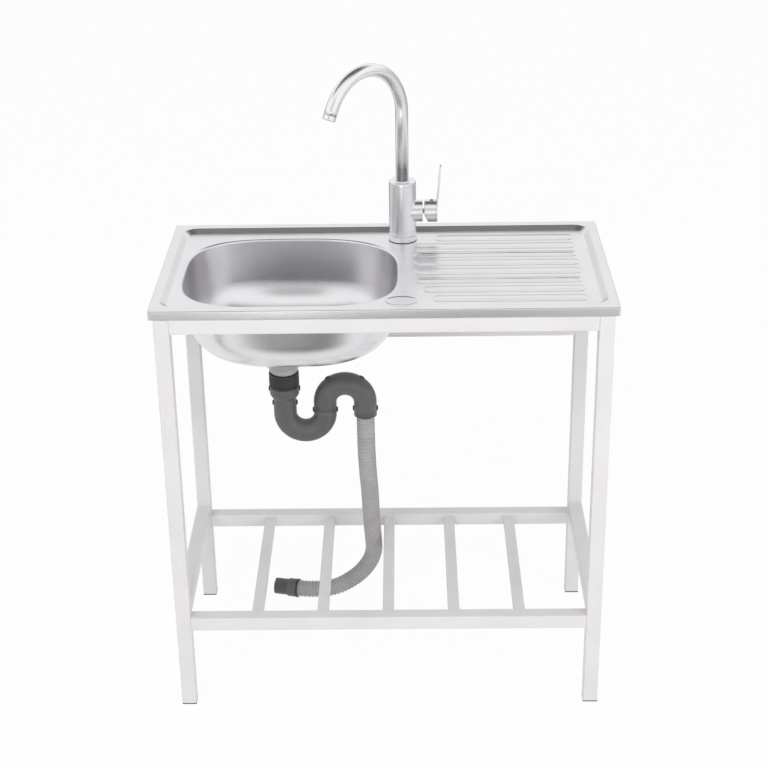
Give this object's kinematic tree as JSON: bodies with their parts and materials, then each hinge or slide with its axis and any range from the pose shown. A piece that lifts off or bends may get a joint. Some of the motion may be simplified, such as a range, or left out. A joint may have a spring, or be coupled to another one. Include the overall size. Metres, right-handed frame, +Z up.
{
  "type": "kitchen sink unit",
  "caption": "Free-standing kitchen sink unit: pressed steel worktop with bowl and ribbed drainer on a tube stand, with mixer tap, trap and corrugated drain hose.",
  "frame": {"origin": "on the floor, under the middle of the worktop", "axes": "+X along the worktop from bowl to drainer, +Y to the back, +Z up"},
  "size_m": [0.75, 0.4, 1.078],
  "materials": {
    "frame_coat": "satin powder coat, off-white",
    "foot_plastic": "moulded, dark grey",
    "worktop_steel": "pressed stainless sheet, fine satin",
    "waste_plastic": "moulded, light grey",
    "seal_rubber": "moulded, black",
    "nut_plastic": "moulded, near black",
    "trap_plastic": "moulded, dark grey",
    "hose_plastic": "corrugated, light grey",
    "tap_finish": "finely brushed, bright",
    "tap_brass": "turned brass",
    "screw_steel": "turned stainless steel",
    "inner_plastic": "moulded, natural white",
    "index_plastic": "moulded, plain grey"
  },
  "bodies": {
    "stand": {"leg_front_left": "frame_coat", "leg_front_right": "frame_coat", "leg_back_left": "frame_coat", "leg_back_right": "frame_coat", "upper_front_rail": "frame_coat", "upper_back_rail": "frame_coat", "upper_left_rail": "frame_coat", "upper_right_rail": "frame_coat", "back_brace_rail": "frame_coat", "lower_front_rail": "frame_coat", "lower_back_rail": "frame_coat", "lower_left_rail": "frame_coat", "lower_right_rail": "frame_coat", "shelf_slat_1": "frame_coat", "shelf_slat_2": "frame_coat", "shelf_slat_3": "frame_coat", "shelf_slat_4": "frame_coat", "shelf_slat_5": "frame_coat", "foot_cap_front_left": "foot_plastic", "foot_cap_front_right": "foot_plastic", "foot_cap_back_left": "foot_plastic", "foot_cap_back_right": "foot_plastic", "sink_top": "worktop_steel", "bowl": "worktop_steel", "strainer_flange": "worktop_steel", "strainer_cup": "waste_plastic", "strainer_gaskets": "seal_rubber", "coupling_washer": "seal_rubber", "tap_gasket": "seal_rubber", "shank_washer": "seal_rubber", "coupling_nut": "nut_plastic", "hose_end_ring": "nut_plastic", "trap_u_bend": "trap_plastic", "trap_return_bend": "trap_plastic", "hose_inlet_cuff": "trap_plastic", "hose_end_cuff": "trap_plastic", "drain_hose": "hose_plastic", "tap_base_ring": "tap_finish", "tap_body": "tap_finish", "tap_shank": "tap_brass", "shank_nut": "tap_brass", "cartridge_nut": "tap_brass", "strainer_screw": "screw_steel", "shank_plate": "screw_steel", "spout_lock_screw": "screw_steel", "spout_bushing": "inner_plastic", "cartridge_body": "inner_plastic"},
    "spout": {"spout_tube": "tap_finish", "spout_seal_rings": "seal_rubber", "aerator_housing": "tap_finish", "aerator_insert": "inner_plastic"},
    "handle_rotor": {"cartridge_rotor": "inner_plastic", "tilt_pin": "screw_steel"},
    "handle": {"handle_stem": "screw_steel", "handle_cap": "tap_finish", "lever_blade": "tap_finish", "grub_screw": "screw_steel", "index_button": "index_plastic"},
    "basket": {"strainer_basket": "worktop_steel", "basket_grip": "inner_plastic"}
  },
  "joints": [
    {"name": "spout_swivel", "type": "hinge", "parent": "stand", "child": "spout", "pos_m": [0.031, 0.1375, 0.84], "axis": [0, 0, 1], "continuous": true},
    {"name": "handle_turn", "type": "hinge", "parent": "stand", "child": "handle_rotor", "pos_m": [0.061, 0.1375, 0.8], "axis": [1, 0, 0], "range_deg": [-45, 45]},
    {"name": "handle_tilt", "type": "hinge", "parent": "handle_rotor", "child": "handle", "pos_m": [0.061, 0.1375, 0.8], "axis": [0, 1, 0], "range_deg": [0, 22]},
    {"name": "basket_lift", "type": "slide", "parent": "stand", "child": "basket", "axis": [0, 0, 1], "range_m": [0, 0.2]}
  ]
}
